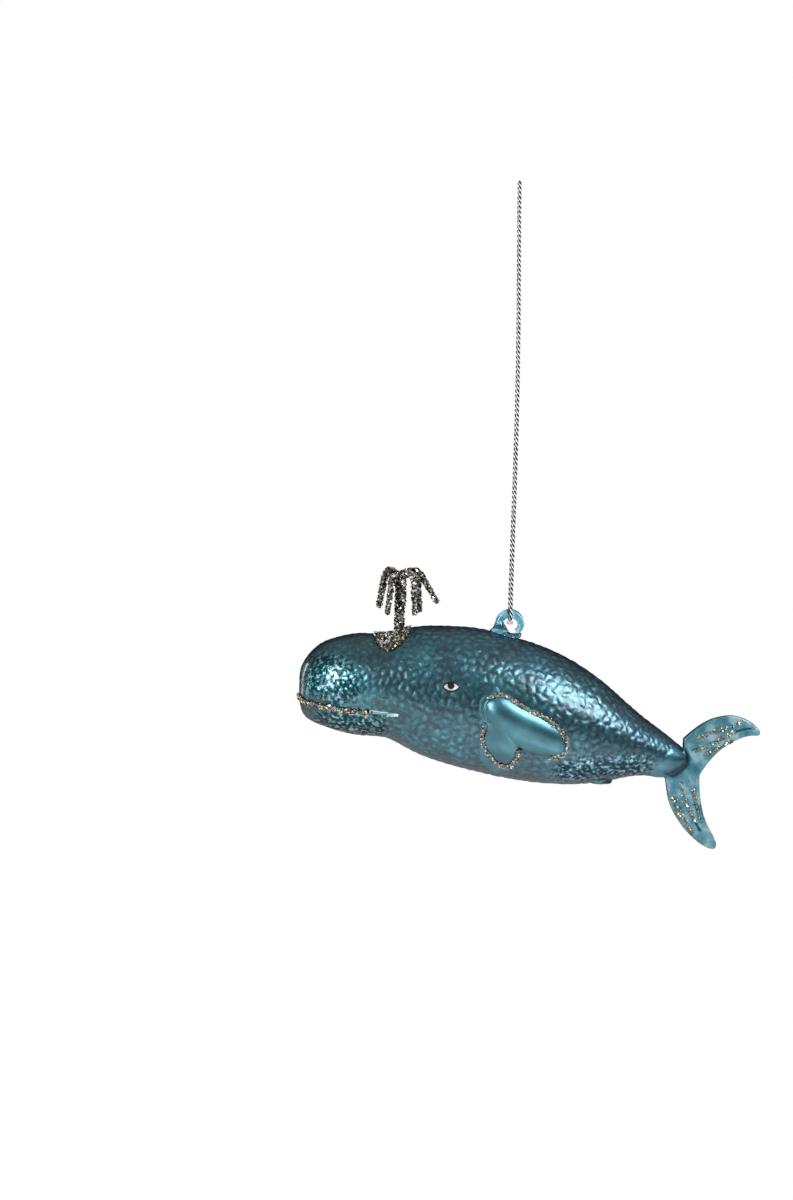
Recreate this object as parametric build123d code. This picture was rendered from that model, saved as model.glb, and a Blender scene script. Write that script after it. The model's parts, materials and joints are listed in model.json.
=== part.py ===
from build123d import *
import math
import os

# A hanging whale of blown glass. Millimetres, +Z up, the head towards -X, the left flank towards -Y.
# The origin is the crown of the cord's top fold, where a hook or twig carries the whole ornament.

# Hang: a doubled cord, drawn tight between the hook and the ring's bar.
hang_length = 132.3  # from the fold's crown down to the ring's centre
cord_d = 1.04
fold_gap = 1.4  # clear width inside the top fold
cord_clear = 0.25  # between the cord and the glass bar that it goes round
cord_turn = 7.0  # degrees that the loop's plane is turned from the whale's cross section
foot_height = 14.0  # the lowest stretch of the cord, which twirls with the whale
knot_d = 1.75

# Hanging ring: a glass rod drawn out of the back and curled round.
ring_eye_d = 3.9
ring_bar_d = 2.6  # at the top of the curl, where the cord bears
ring_tip_d = 1.75  # at the free end
ring_foot_d = 7.4  # where the rod leaves the back
ring_sink = 2.6  # how far the curl's centre line dips below the top of the back
ring_share = 0.534  # place of the ring along the body

# Body: a blown bubble with a moulded surface.
body_length = 117.7
body_depth = 47.3
body_width = 38.0
wall_head = 1.73  # the bubble is blown thicker towards the head, which balances the solid flukes
wall_tail = 0.9
tail_core = 12.0  # length of solid glass at the tail end

# Mouth, eyes and the seal of the blowpipe under the belly.
mouth_width = 0.95
mouth_depth = 0.45
mouth_stand = 0.25
mouth_fill = 0.76  # how much of the groove the glitter fills, from the nose
eye_length = 5.3
eye_height = 3.1
eye_line = 0.42
pupil_d = 2.0
enamel = 0.2
seal_d = 7.6
seal_stand = 0.8

# Flippers, moulded in relief, with a bead of glitter along their edges.
flipper_length = 27.6
flipper_slope = -28.4
flipper_relief = 2.0
bead_width = 0.9
bead_stand = 0.6

# Tail flukes: two solid lobes, pressed with three grooves on each face.
upper_fluke_length = 25.0
upper_fluke_slope = 7.5
lower_fluke_length = 24.2
lower_fluke_slope = -65.0
fluke_thickness = 6.6
fluke_edge = 0.7
groove_width = 0.9
groove_depth = 0.45
groove_stand = 0.15
groove_clear = 0.05  # between a groove's walls and the glitter in it

# Water spout: glitter-covered wires standing in a bed of glitter.
wire_d = 0.82
wire_clear = 0.05
spout_height = 18.4  # from the blowhole to the crown of the wires
spout_droop = 10.0
bed_depth = 0.6
bed_stand = 0.2

# The body's cross sections from nose to tail, as shares of its length, depth and width:
# top edge along and down, belly edge along and down, width.
body_rows = [
    (0.000, 0.377, 0.000, 0.466, 0.13),
    (0.006, 0.269, 0.009, 0.573, 0.37),
    (0.021, 0.205, 0.025, 0.617, 0.52),
    (0.051, 0.133, 0.056, 0.653, 0.65),
    (0.096, 0.086, 0.102, 0.689, 0.75),
    (0.157, 0.058, 0.163, 0.714, 0.82),
    (0.219, 0.060, 0.224, 0.726, 0.87),
    (0.279, 0.019, 0.286, 0.799, 0.91),
    (0.356, 0.002, 0.363, 0.871, 0.95),
    (0.445, 0.010, 0.453, 0.926, 0.99),
    (0.535, 0.056, 0.543, 0.969, 1.00),
    (0.625, 0.124, 0.632, 0.993, 0.98),
    (0.715, 0.233, 0.721, 0.991, 0.88),
    (0.798, 0.381, 0.803, 0.961, 0.73),
    (0.860, 0.514, 0.864, 0.932, 0.58),
    (0.909, 0.606, 0.902, 0.933, 0.46),
    (0.948, 0.677, 0.935, 0.935, 0.36),
    (0.979, 0.742, 0.968, 0.901, 0.26),
    (0.998, 0.792, 0.993, 0.836, 0.13),
]
section_points = 12

mouth_line = [
    (-0.020, 0.440), (0.000, 0.474), (0.021, 0.507), (0.043, 0.521),
    (0.115, 0.546), (0.173, 0.563), (0.226, 0.574), (0.256, 0.563),
]
eye_place = (0.386, 0.384)
pupil_place = (0.385, 0.377)
seal_place = (0.772, 0.975)
blowhole_rim = [
    (0.189, 0.055), (0.192, 0.099), (0.202, 0.138), (0.219, 0.158), (0.236, 0.155),
    (0.252, 0.131), (0.264, 0.095), (0.273, 0.053), (0.280, 0.012),
]
spout_place = (0.252, 0.046)
flipper_place = (0.477, 0.452)
upper_fluke_place = (0.971, 0.717)
lower_fluke_place = (0.981, 0.919)

# Flipper: pairs of edge points across each lobe and the lobe's rise there, as shares.
flipper_rungs = [
    ((0.020, -0.090), (0.020, -0.010), 0.20),
    ((0.130, -0.210), (0.130, 0.108), 0.75),
    ((0.380, -0.290), (0.380, 0.110), 1.00),
    ((0.600, -0.296), (0.600, 0.119), 1.00),
    ((0.800, -0.250), (0.800, 0.106), 0.90),
    ((0.940, -0.195), (0.940, 0.045), 0.65),
    ((1.005, -0.120), (1.005, -0.030), 0.25),
]
thumb_rungs = [
    ((0.125, -0.200), (0.560, -0.200), 0.60),
    ((0.135, -0.330), (0.570, -0.330), 0.75),
    ((0.190, -0.437), (0.600, -0.437), 0.80),
    ((0.270, -0.500), (0.585, -0.500), 0.60),
    ((0.390, -0.550), (0.510, -0.550), 0.20),
]
flipper_beads = [
    [
        (0.000, 0.000), (0.121, 0.106), (0.388, 0.110), (0.706, 0.121), (0.860, 0.086),
        (0.965, 0.030), (1.015, -0.079), (0.986, -0.152), (0.903, -0.224),
    ],
    [
        (0.575, -0.320), (0.602, -0.432), (0.564, -0.529), (0.409, -0.555),
        (0.259, -0.490), (0.180, -0.425), (0.145, -0.343), (0.128, -0.256),
    ],
]

# Flukes: outline points and groove lines, as shares of each lobe's length.
upper_lead = [
    (0.000, 0.000), (0.092, 0.074), (0.235, 0.167), (0.412, 0.244), (0.583, 0.268),
    (0.714, 0.254), (0.829, 0.199), (0.918, 0.129), (0.985, 0.030),
]
upper_trail = [
    (0.985, 0.030), (0.965, -0.008), (0.900, -0.008), (0.770, -0.014), (0.632, -0.057),
    (0.479, -0.136), (0.334, -0.253), (0.197, -0.407),
]
upper_root = [(0.197, -0.407), (-0.112, -0.253), (0.000, 0.000)]
lower_inner = [
    (0.085, 0.193), (0.232, 0.128), (0.434, 0.066), (0.624, 0.037), (0.779, 0.044), (0.939, 0.047),
]
lower_outer = [
    (0.939, 0.047), (0.995, -0.011), (0.956, -0.069), (0.828, -0.161), (0.654, -0.233),
    (0.446, -0.277), (0.280, -0.285), (0.129, -0.259), (-0.051, -0.208),
]
lower_root = [(-0.051, -0.208), (-0.163, -0.064), (-0.130, 0.165), (0.085, 0.193)]
upper_grooves = [
    [(0.197, 0.039), (0.480, 0.108), (0.752, 0.159)],
    [(0.144, -0.112), (0.419, -0.027), (0.694, 0.069), (0.889, 0.084)],
    [(0.282, -0.175), (0.371, -0.137), (0.634, -0.039)],
]
upper_glitter = [1.00, 0.74, 1.00]  # how much of each groove the glitter fills
lower_grooves = [
    [(0.204, -0.211), (0.448, -0.210), (0.707, -0.175)],
    [(0.069, -0.057), (0.282, -0.097), (0.597, -0.087), (0.724, -0.075)],
    [(0.169, 0.047), (0.332, 0.017), (0.538, -0.006), (0.614, 0.000)],
]
lower_glitter = [1.00, 0.80, 0.86]

# Spout wires: place in the stem (degrees round the middle wire), heading, bend in wire diameters,
# turn of the bend in degrees, droop and crown as shares. The middle wire has no place round itself.
wire_rows = [
    (182, 190, 2.38, 170, 0.93, 1.00),
    (122, 150, 2.93, 168, 0.90, 0.98),
    (242, 236, 2.44, 170, 0.98, 0.90),
    (None, 284, 2.21, 172, 0.80, 0.95),
    (302, 322, 2.80, 176, 0.96, 0.93),
    (62, 38, 3.90, 176, 0.90, 0.99),
    (2, 2, 3.47, 148, 0.95, 1.00),
]

# Worked-out values.
cord_r = cord_d / 2
ring_r = (ring_eye_d + ring_bar_d) / 2
ring_centre = Vector(0, 0, -hang_length)
bar_centre = ring_centre + Vector(0, 0, ring_r)
back_z = ring_centre.Z - ring_r + ring_sink
bight_r = ring_bar_d / 2 + cord_clear + cord_r
fold_r = fold_gap / 2 + cord_r
fold_centre = Vector(0, 0, cord_r - fold_r)


def at(along, down):
    """A point of the side view, from shares of the body's length and depth."""
    return Vector((along - ring_share) * body_length, 0, back_z - down * body_depth)


def fin_points(shares, place, length, slope):
    """Points of a fin's outline, turned to its slope and set at its place on the body."""
    root = at(*place)
    points = []
    for along, across in shares:
        points.append(root + Vector(along * length, 0, across * length).rotate(Axis.Y, -slope))
    return points


def body_section(row, grow):
    """One rounded cross section of the bubble, grown outwards by a distance."""
    top = at(row[0], row[1])
    low = at(row[2], row[3])
    middle = (top + low) / 2 + Vector(grow * (row[0] + row[2] - 1), 0, 0)
    rise = (top - low).normalized() * ((top - low).length / 2 + grow)
    side = Vector(0, row[4] * body_width / 2 + grow, 0)
    points = []
    for i in range(section_points):
        angle = 2 * math.pi * i / section_points
        points.append(middle - rise * math.cos(angle) + side * math.sin(angle))
    return Face(Wire([Edge.make_spline(points, periodic=True)]))


def body_form(grow):
    """The bubble's smooth form, without its reliefs, grown outwards by a distance."""
    return loft([body_section(row, grow) for row in body_rows])


def body_hollow():
    """The cavity inside the bubble, from behind the nose to the solid tail end."""
    sections = []
    for row in body_rows[1:]:
        if row[0] < 1 - tail_core / body_length:
            wall = wall_head + (wall_tail - wall_head) * row[0]
            sections.append(body_section(row, -wall))
    return loft(sections)


def outline(*curves):
    """A flat face inside splines that meet end to end."""
    edges = []
    for points in curves:
        edges.append(Edge.make_spline(points) if len(points) > 2 else Edge.make_line(*points))
    return Face(Wire(edges))


def ribbon(points, width, share=1.0):
    """A flat strip along a smooth line, over a share of its length."""
    line = Spline(*points)
    steps = 4 * len(points)
    edges = ([], [])
    for i in range(steps + 1):
        place = share * i / steps
        along = line % place
        across = Vector(-along.Z, 0, along.X) * (width / 2)
        edges[0].append(line @ place + across)
        edges[1].append(line @ place - across)
    ends = [edges[0][-1], edges[1][-1]], [edges[1][0], edges[0][0]]
    return outline(edges[0], ends[0], edges[1][::-1], ends[1])


def through(face):
    """A slab of a side-view face, right through the whale."""
    return extrude(face, amount=body_width, dir=(0, 1, 0), both=True)


def half(face, side):
    """A slab of a side-view face, through one flank alone: -1 is the left, 1 the right."""
    return extrude(face, amount=body_width, dir=(0, side, 0))


def mirrored(piece):
    """The same piece on the right flank."""
    return mirror(piece, about=Plane.XZ)


def on_skin(skin, point):
    """The left flank's surface point at a place of the side view."""
    probe = Edge.make_line(point, point - Vector(0, body_width, 0)) & skin
    return Vector(*min(probe.vertices(), key=lambda end: end.Y))


def puffed_lobe(skin, rungs):
    """A swelling of the flank, lofted through arcs that spring from the surface at their ends."""
    sections = []
    for first, last, rise in rungs:
        low, high = fin_points([first, last], flipper_place, flipper_length, flipper_slope)
        crown = on_skin(skin, (low + high) / 2) - Vector(0, rise * flipper_relief, 0)
        feet = [on_skin(skin, low), on_skin(skin, high)]
        arc = Edge.make_three_point_arc(feet[0], crown, feet[1])
        chord = Edge.make_line(feet[1], feet[0])
        sections.append(Face(Wire([arc, chord])))
    return loft(sections)


def cut_round(slab, core):
    """The parts of a slab that lie outside a core: a groove or hollow of even depth."""
    return slab - core


def glass_body(skin, lobes, mouth_slab, blowhole_slab):
    """The sealed bubble, with its reliefs and hollows outside and its blown cavity inside."""
    seal = Pos(at(*seal_place)) * scale(Sphere(1), by=(seal_d / 2, seal_d / 2, seal_stand))
    glass = skin
    for lobe in lobes:
        glass = glass + lobe + mirrored(lobe)
    glass = glass + seal
    glass = glass - cut_round(mouth_slab, body_form(-mouth_depth))
    glass = glass - cut_round(blowhole_slab, body_form(-bed_depth))
    return glass - body_hollow()


def blowhole_face():
    """The side view of the hollow round the spout, open above the head."""
    rim = [at(*share) for share in blowhole_rim]
    lift = Vector(0, 0, wire_d * 4)
    return outline(rim, [rim[-1], rim[-1] + lift], [rim[-1] + lift, rim[0] + lift], [rim[0] + lift, rim[0]])


def spout_wire(row, floor):
    """One wire: up the stem, over the bend and down."""
    place, heading, bend_share, turn, droop_share, crown_share = row
    foot = at(*spout_place)
    start = foot - Vector(0, 0, 4 * wire_d)
    if place is not None:
        start += Vector(wire_d + wire_clear, 0, 0).rotate(Axis.Z, place)
    bend = bend_share * wire_d
    out = Vector(1, 0, 0).rotate(Axis.Z, heading)
    up = Vector(0, 0, 1)
    top = Vector(start.X, start.Y, foot.Z + crown_share * spout_height - bend)
    centre = top + out * bend
    spots = []
    for share in (0.5, 1.0):
        angle = math.radians(turn * share)
        spots.append(centre - out * (bend * math.cos(angle)) + up * (bend * math.sin(angle)))
    down = out * math.sin(angle) + up * math.cos(angle)
    path = Wire([
        Edge.make_line(start, top),
        Edge.make_three_point_arc(top, *spots),
        Edge.make_line(spots[1], spots[1] + down * (droop_share * spout_droop)),
    ])
    return sweep(Plane(start, z_dir=up) * Circle(wire_d / 2), path=path) - floor


def hanging_ring(skin):
    """A rod that leaves the back in a flare, curls round and tapers to its free tip."""
    stations = []
    for across, down, heading, share in (
        (-1.02, -1.60, 84, 1.42), (-1.06, -0.81, 91, 1.0), (-1.05, -0.53, 92, 0.74), (-0.98, -0.12, 95, 0.46),
    ):
        middle = ring_centre + Vector(across * ring_r, 0, down * ring_r)
        stations.append((middle, heading, share * ring_foot_d))
    for angle, share in ((158, 0.98), (136, 0.98), (112, 1.0), (90, 1.0), (65, 1.0), (35, 0.9), (5, 0.82)):
        spoke = Vector(ring_r, 0, 0).rotate(Axis.Y, -angle)
        stations.append((ring_centre + spoke, angle - 90, share * ring_bar_d))
    for angle, inward in ((-25, 0.97), (-56, 0.84)):
        spoke = Vector(inward * ring_r, 0, 0).rotate(Axis.Y, -angle)
        stations.append((ring_centre + spoke, angle - 100, ring_tip_d))
    sections = []
    for middle, heading, diameter in stations:
        forward = Vector(1, 0, 0).rotate(Axis.Y, -heading)
        sections.append(Plane(middle, x_dir=(0, 1, 0), z_dir=forward) * Circle(diameter / 2))
    rod = loft(sections)
    tip = rod.faces().sort_by_distance(stations[-1][0])[0]
    return fillet(tip.edges(), 0.4 * ring_tip_d) - skin


def fluke_lens(grow):
    """The lens that gives both lobes their thickness, grown by a distance on each face."""
    reach = (1.02 * upper_fluke_length, fluke_thickness / 2 + grow, 1.24 * lower_fluke_length)
    return Pos(at(1.0, 0.82)) * scale(Sphere(1), by=reach)


def fluke(face, groove_slabs, core):
    """A pressed lobe with rounded edges and grooves on both faces."""
    lobe = through(face) & fluke_lens(0)
    lobe = fillet(lobe.edges(), fluke_edge)
    for slab in groove_slabs:
        lobe = lobe - cut_round(slab, core)
    return lobe


def groove_slabs(lines, shares, frame, width):
    """Slabs along the pressed lines, each over a share of its length."""
    slabs = []
    for points, share in zip(lines, shares):
        slabs.append(through(ribbon(fin_points(points, *frame), width, share)))
    return slabs


def almond(length, height):
    """The pointed oval of an eye, in the side view."""
    middle = at(*eye_place)
    corners = [middle - Vector(length / 2, 0, 0), middle + Vector(length / 2, 0, 0)]
    lids = [middle + Vector(0, 0, height / 2), middle - Vector(0, 0, height / 2)]
    upper = Edge.make_three_point_arc(corners[0], lids[0], corners[1])
    lower = Edge.make_three_point_arc(corners[1], lids[1], corners[0])
    return Face(Wire([upper, lower]))


def cord_leg(height, side):
    """A point on one straight leg of the cord, at a height above the bar's centre."""
    span = fold_centre.Z - bar_centre.Z
    lean = math.asin((bight_r - fold_r) / span)
    out = (bight_r - height * math.sin(lean)) / math.cos(lean)
    return Vector(0, side * out, bar_centre.Z + height)


def cord_stretch(middle, radius, upward):
    """A stretch of cord: down one leg, round a bar and up the other leg."""
    span = fold_centre.Z - bar_centre.Z
    lean = (bight_r - fold_r) / span
    tangent_height = middle.Z - bar_centre.Z + radius * lean
    ends = [cord_leg(foot_height, side) for side in (-1, 1)]
    tangents = [cord_leg(tangent_height, side) for side in (-1, 1)]
    crown = middle + Vector(0, 0, radius * upward)
    path = Wire([
        Edge.make_line(ends[0], tangents[0]),
        Edge.make_three_point_arc(tangents[0], crown, tangents[1]),
        Edge.make_line(tangents[1], ends[1]),
    ])
    print("cord arc radius", round(radius, 2), "length", round(path.length, 2))
    start = Plane(ends[0], z_dir=tangents[0] - ends[0])
    return Rot(0, 0, cord_turn) * sweep(start * Circle(cord_r), path=path)


def build():
    """Every piece by its name."""
    skin = body_form(0)
    lips = [at(*share) for share in mouth_line]
    mouth_slab = through(ribbon(lips, mouth_width))
    blowhole_slab = through(blowhole_face())
    lobes = [puffed_lobe(skin, rungs) for rungs in (flipper_rungs, thumb_rungs)]
    pieces = {"glass_body": glass_body(skin, lobes, mouth_slab, blowhole_slab)}
    pieces["hanging_ring"] = hanging_ring(skin)

    frames = {
        "fluke_upper": (upper_fluke_place, upper_fluke_length, upper_fluke_slope),
        "fluke_lower": (lower_fluke_place, lower_fluke_length, lower_fluke_slope),
    }
    curves = {
        "fluke_upper": (upper_lead, upper_trail, upper_root),
        "fluke_lower": (lower_inner, lower_outer, lower_root),
    }
    lines = {"fluke_upper": upper_grooves, "fluke_lower": lower_grooves}
    fills = {"fluke_upper": upper_glitter, "fluke_lower": lower_glitter}
    core = fluke_lens(-groove_depth)
    taken = [skin]
    for name, frame in frames.items():
        face = outline(*[fin_points(curve, *frame) for curve in curves[name]])
        pressed = groove_slabs(lines[name], [1.0] * len(lines[name]), frame, groove_width)
        pieces[name] = fluke(face, pressed, core)
        for neighbour in taken:
            pieces[name] = pieces[name] - neighbour
        taken.append(pieces[name])
        filled = groove_slabs(lines[name], fills[name], frame, groove_width - 2 * groove_clear)
        beads = [cut_round(slab & fluke_lens(groove_stand), core) for slab in filled]
        pieces[name + "_glitter"] = Compound(children=[bead for group in beads for bead in group.solids()])

    filled = through(ribbon(lips, mouth_width - 2 * groove_clear, mouth_fill))
    pieces["mouth_glitter"] = cut_round(filled & body_form(mouth_stand), body_form(-mouth_depth))
    floor = body_form(-bed_depth)
    bed = cut_round(blowhole_slab & body_form(bed_stand), floor)
    for number, row in enumerate(wire_rows, 1):
        wire = spout_wire(row, floor)
        pieces[f"spout_wire_{number}"] = wire
        bed = bed - wire
    pieces["blowhole_glitter"] = bed

    strips = []
    for points in flipper_beads:
        strips.append(ribbon(fin_points(points, flipper_place, flipper_length, flipper_slope), bead_width))
    bead_form = body_form(bead_stand)
    coat = body_form(enamel)
    white = almond(eye_length - 2 * eye_line, eye_height - 2 * eye_line)
    rim = almond(eye_length, eye_height) - white
    pupil = Pos(at(*pupil_place)) * (Rot(90, 0, 0) * Circle(pupil_d / 2)) & white
    for word, side in (("left", -1), ("right", 1)):
        beads = []
        for strip in strips:
            bead = (half(strip, side) & bead_form) - skin
            for lobe in lobes:
                bead = bead - (lobe if side < 0 else mirrored(lobe))
            beads += bead.solids()
        pieces["flipper_glitter_" + word] = Compound(children=beads)
        pieces["eye_white_" + word] = (half(white, side) & coat) - skin
        pieces["eye_line_" + word] = (half(rim, side) & coat) - skin
        pieces["eye_pupil_" + word] = (half(pupil, side) & body_form(2 * enamel)) - coat

    pieces["cord_loop"] = cord_stretch(fold_centre, fold_r, 1)
    pieces["cord_foot"] = cord_stretch(bar_centre, bight_r, -1)
    knot_z = bar_centre.Z - bight_r - 0.35 * knot_d
    pieces["cord_knot"] = Pos(0, 0, knot_z) * Sphere(knot_d / 2) - pieces["cord_foot"]
    return pieces


os.makedirs("parts", exist_ok=True)
for name, piece in build().items():
    export_step(piece, f"parts/{name}.step")
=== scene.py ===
import json
import math
import bmesh
import bpy
import numpy as np
from mathutils import Matrix, Vector
from mathutils.bvhtree import BVHTree
from mathutils.kdtree import KDTree

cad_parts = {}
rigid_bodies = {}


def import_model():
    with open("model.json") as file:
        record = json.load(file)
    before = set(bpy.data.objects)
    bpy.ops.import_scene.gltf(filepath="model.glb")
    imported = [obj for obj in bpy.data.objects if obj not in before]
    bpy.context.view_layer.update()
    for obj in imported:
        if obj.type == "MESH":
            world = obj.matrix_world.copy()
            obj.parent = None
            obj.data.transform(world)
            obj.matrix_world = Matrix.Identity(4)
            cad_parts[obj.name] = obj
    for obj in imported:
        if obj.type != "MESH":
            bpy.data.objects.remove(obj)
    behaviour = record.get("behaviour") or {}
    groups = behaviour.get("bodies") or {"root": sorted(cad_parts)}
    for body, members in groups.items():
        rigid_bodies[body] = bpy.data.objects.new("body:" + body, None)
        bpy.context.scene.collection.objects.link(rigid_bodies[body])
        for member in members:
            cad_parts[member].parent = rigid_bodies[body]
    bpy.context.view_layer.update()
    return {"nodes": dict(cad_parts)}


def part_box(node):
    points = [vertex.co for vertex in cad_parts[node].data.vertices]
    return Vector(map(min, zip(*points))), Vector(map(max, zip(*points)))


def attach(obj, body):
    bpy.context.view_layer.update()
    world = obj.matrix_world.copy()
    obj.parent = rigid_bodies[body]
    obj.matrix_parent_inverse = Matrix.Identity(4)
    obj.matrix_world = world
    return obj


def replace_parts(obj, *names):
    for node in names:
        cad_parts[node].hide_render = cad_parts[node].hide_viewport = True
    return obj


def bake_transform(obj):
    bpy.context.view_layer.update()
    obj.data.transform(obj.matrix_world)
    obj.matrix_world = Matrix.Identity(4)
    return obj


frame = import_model()
nodes = frame["nodes"]
mm = 0.001
weld = 0.001 * mm  # points nearer than this are one
ringCentre = Vector((0, 0, -132.3)) * mm  # the cord carries the whale here
print("frame:", len(nodes), "nodes")


def linear(code):
    channels = [int(code[i:i + 2], 16) / 255 for i in (1, 3, 5)]
    curved = [c / 12.92 if c <= 0.04045 else ((c + 0.055) / 1.055) ** 2.4 for c in channels]
    return curved + [1.0]


def perMetre(size):  # texture scale for a pattern of that size in mm
    return 1 / (size * mm)


# settings name an input or a property of the node, links name an input and give its source
def addNode(tree, kind, settings=None, links=None):
    node = tree.nodes.new(kind)
    for key, value in (settings or {}).items():
        if isinstance(key, int) or key in node.inputs:
            node.inputs[key].default_value = value
        else:
            setattr(node, key, value)
    for key, source in (links or {}).items():
        tree.links.new(source, node.inputs[key])
    return node


def newMaterial(name, shader):
    material = bpy.data.materials.new(name)
    material.use_nodes = True
    tree = material.node_tree
    tree.nodes.clear()
    surface = addNode(tree, "ShaderNodeBsdfPrincipled", shader)
    addNode(tree, "ShaderNodeOutputMaterial", links={"Surface": surface.outputs["BSDF"]})
    return material, tree, surface


def setRamp(node, stops, interpolation="LINEAR"):
    ramp = node.color_ramp
    ramp.interpolation = interpolation
    while len(ramp.elements) < len(stops):
        ramp.elements.new(1.0)
    for element, (place, code) in zip(ramp.elements, stops):
        element.position = place
        element.color = linear(code)
    return node.outputs["Color"]


def addObject(name, mesh, material, smooth=True):
    for polygon in mesh.polygons:
        polygon.use_smooth = smooth
    mesh.materials.clear()
    mesh.materials.append(material)
    item = bpy.data.objects.new(name, mesh)
    bpy.context.scene.collection.objects.link(item)
    return item


# Camera: square to the left flank; the plumb cord leans to the right at the top of the picture
camera = {
    "imageSize": (793, 1200),
    "ringPixel": (510, 624.2),
    "pixel": 0.30,  # mm of the whale's plane
    "roll": 1.27,
    "distance": 1300,
    "sensor": 36,
}


def setCamera():
    roll = math.radians(camera["roll"])
    right = Vector((math.cos(roll), 0, math.sin(roll)))
    up = Vector((-math.sin(roll), 0, math.cos(roll)))
    across = camera["imageSize"][0] / 2 - camera["ringPixel"][0]
    down = camera["imageSize"][1] / 2 - camera["ringPixel"][1]
    aim = ringCentre + (right * across - up * down) * camera["pixel"] * mm
    data = bpy.data.cameras.new("camera")
    data.sensor_fit = "VERTICAL"
    data.sensor_height = camera["sensor"]
    data.lens = camera["sensor"] * camera["distance"] / (camera["imageSize"][1] * camera["pixel"])
    item = bpy.data.objects.new("camera", data)
    place = aim - Vector((0, camera["distance"] * mm, 0))
    back = Vector((0, -1, 0))
    rows = [(right[i], up[i], back[i], place[i]) for i in range(3)]
    item.matrix_world = Matrix(rows + [(0, 0, 0, 1)])
    bpy.context.scene.collection.objects.link(item)
    bpy.context.scene.camera = item


setCamera()
print("camera set")


# Metallised film thread, twisted: noise patches from nearly white to pale grey, painted glints and painted shade
# for the film facing the light and turning away
def twistedFilmThread():
    material, tree, surface = newMaterial("twistedFilmThread", {"Metallic": 0.1, "Roughness": 0.35})
    place = addNode(tree, "ShaderNodeTexCoord").outputs["Object"]
    paintedGlintAndShade = addNode(
        tree, "ShaderNodeTexNoise", {"Scale": perMetre(0.6), "Detail": 2.0}, {"Vector": place},
    )
    tone = addNode(tree, "ShaderNodeValToRGB", links={"Fac": paintedGlintAndShade.outputs["Fac"]})
    colour = setRamp(tone, [(0.34, "#c4c6ca"), (0.48, "#f0f1f3"), (0.60, "#ffffff")])
    tree.links.new(colour, surface.inputs["Base Color"])
    return material


# The cord's core tube: black and dull, painted shade in the gaps between the strands of film
def shadedGapCore():
    material, tree, surface = newMaterial("shadedGapCordCore", {"Roughness": 0.8})
    place = addNode(tree, "ShaderNodeTexCoord").outputs["Object"]
    gapNoise = addNode(tree, "ShaderNodeTexNoise", {"Scale": perMetre(0.3), "Detail": 2.0}, {"Vector": place})
    tone = addNode(tree, "ShaderNodeValToRGB", links={"Fac": gapNoise.outputs["Fac"]})
    tree.links.new(setRamp(tone, [(0.35, "#020203"), (0.65, "#0c0c10")]), surface.inputs["Base Color"])
    return material


# Cord: one thread from the knot round the bar, up, over the hook and back down to the knot
cord = {
    "diameter": 1.04,
    "turn": 7.0,  # degrees from the whale's cross section
    "lay": 2.9,  # mm of cord per turn of the strands
    "strands": 2,
    "strandRadius": 0.19,
    "coreRadius": 0.40,
    "sides": 6,
    "step": 0.20,
    # out from the axis, height, and lean towards the tail, mm, from the knot up to the fold
    "leg": [
        (0.53, -131.12, 0), (2.07, -131.12, 0), (2.07, -126.98, 0), (2.02, -122.80, 0),
        (1.64, -62.00, 0.9), (1.26, -6.90, 0), (1.22, -1.92, 0), (1.22, 0.52, 0),
    ],
    "twist": (-20, -112),  # heights of a twirl between the legs
    "knotRadius": 0.27,
    "knotTube": 0.30,
    "knotSteps": 72,
    "knotSides": 8,
}


def cordRoute():
    turn = math.radians(cord["turn"])
    points = []
    for side, leg in ((-1, cord["leg"]), (1, cord["leg"][::-1])):
        for out, height, lean in leg:
            y = side * out
            points.append(Vector((lean - y * math.sin(turn), y * math.cos(turn), height)) * mm)
    curve = bpy.data.curves.new("cordRoute", "CURVE")
    curve.dimensions = "3D"
    spline = curve.splines.new("NURBS")
    spline.points.add(len(points) - 1)
    for place, point in zip(spline.points, points):
        place.co = (*point, 1)
    spline.order_u = 3
    spline.use_endpoint_u = True
    spline.resolution_u = 32
    item = bpy.data.objects.new("cordRoute", curve)
    mesh = bpy.data.meshes.new_from_object(item)
    line = np.array([v.co for v in mesh.vertices])
    bpy.data.objects.remove(item)
    bpy.data.meshes.remove(mesh)
    return line


def evenly(line, step):
    runs = np.linalg.norm(np.diff(line, axis=0), axis=1)
    along = np.concatenate([[0], np.cumsum(runs)])
    places = np.linspace(0, along[-1], int(along[-1] / step) + 1)
    return places, np.column_stack([np.interp(places, along, line[:, i]) for i in range(3)])


# a closed tube round a line; first is a direction that isn't along the line's start
def tubeMesh(line, radius, sides, first, closed=False):
    tangents = np.gradient(line, axis=0)
    tangents /= np.linalg.norm(tangents, axis=1)[:, None]
    normal = np.array(first, float)
    verts = []
    angles = np.linspace(0, 2 * math.pi, sides, endpoint=False)
    for middle, tangent in zip(line, tangents):
        normal = normal - tangent * (normal @ tangent)
        normal /= np.linalg.norm(normal)
        other = np.cross(tangent, normal)
        verts += [middle + radius * (math.cos(a) * normal + math.sin(a) * other) for a in angles]
    count = len(line)
    faces = []
    for i in range(count if closed else count - 1):
        j = (i + 1) % count
        for k in range(sides):
            n = (k + 1) % sides
            faces.append((i * sides + k, i * sides + n, j * sides + n, j * sides + k))
    if not closed:
        faces.append(tuple(range(sides))[::-1])
        faces.append(tuple(range((count - 1) * sides, count * sides)))
    return verts, faces


def joined(parts):
    verts = []
    faces = []
    for partVerts, partFaces in parts:
        start = len(verts)
        verts += [tuple(v) for v in partVerts]
        faces += [tuple(start + i for i in face) for face in partFaces]
    mesh = bpy.data.meshes.new("joined")
    mesh.from_pydata(verts, [], faces)
    mesh.validate()
    return mesh


# the faces after the first count take the second material
def secondMaterial(mesh, material, count):
    mesh.materials.append(material)
    kinds = np.ones(len(mesh.polygons), dtype=np.int32)
    kinds[:count] = 0
    mesh.polygons.foreach_set("material_index", kinds)


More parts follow.
